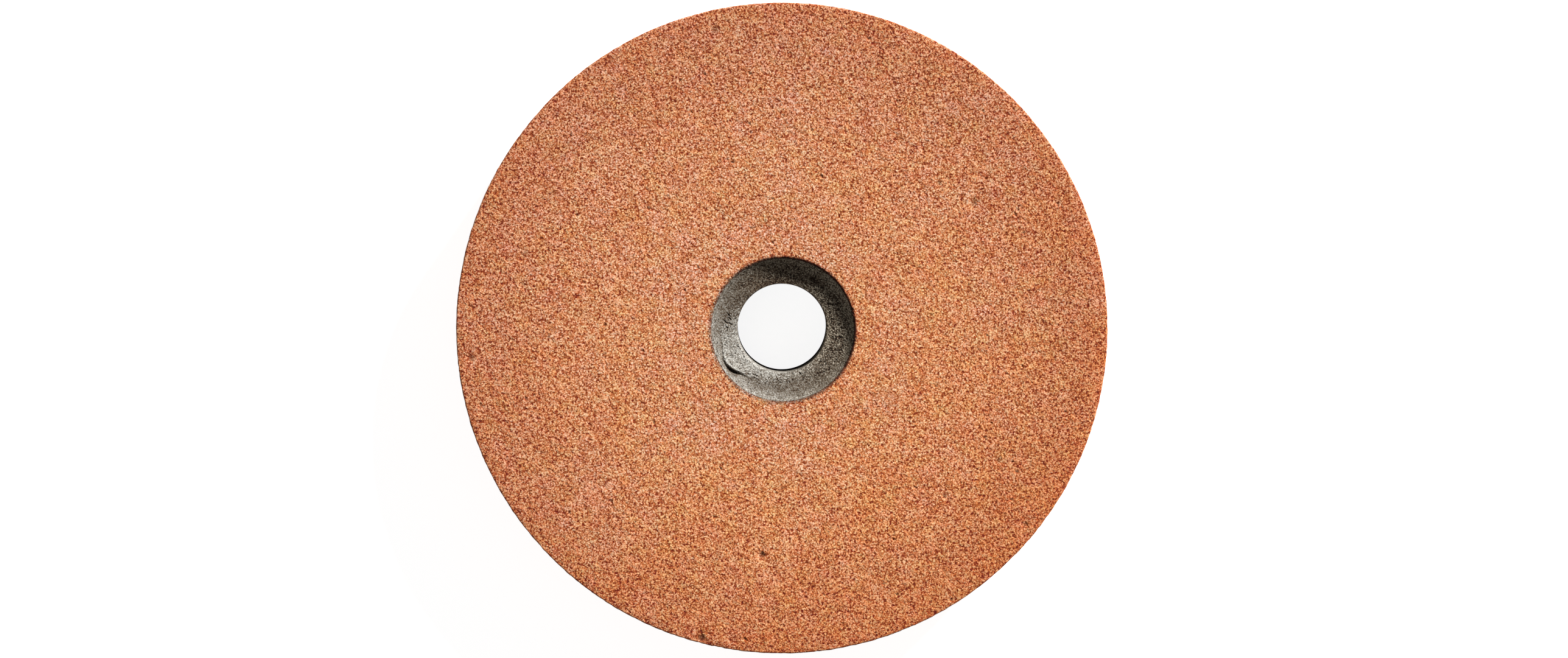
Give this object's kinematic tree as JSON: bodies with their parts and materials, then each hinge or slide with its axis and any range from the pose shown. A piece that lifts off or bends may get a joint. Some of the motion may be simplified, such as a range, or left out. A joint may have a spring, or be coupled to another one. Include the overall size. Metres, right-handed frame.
{
  "type": "bench grinding wheel",
  "caption": "Straight bench grinding wheel of brown-red fired abrasive, with a dark grey cast bush whose dished front leads into a plain spindle bore.",
  "frame": {"origin": "middle of the bore, on the plane of the back face that the wheel lies on", "axes": "+Z runs along the bore from the back face to the pictured front face; +X is to the right and +Y is up in the picture"},
  "size_m": [0.15, 0.15, 0.02],
  "materials": {
    "fired_abrasive": "fired open-grained brown aluminium oxide, matt and sandy, with fine dark pores",
    "cast_bush": "poured mineral-filled compound, dark grey and dull, smooth on the wall of the dish and rough round the bore"
  },
  "bodies": {
    "root": {"abrasive_wheel": "fired_abrasive", "arbor_bush": "cast_bush"}
  },
  "joints": []
}
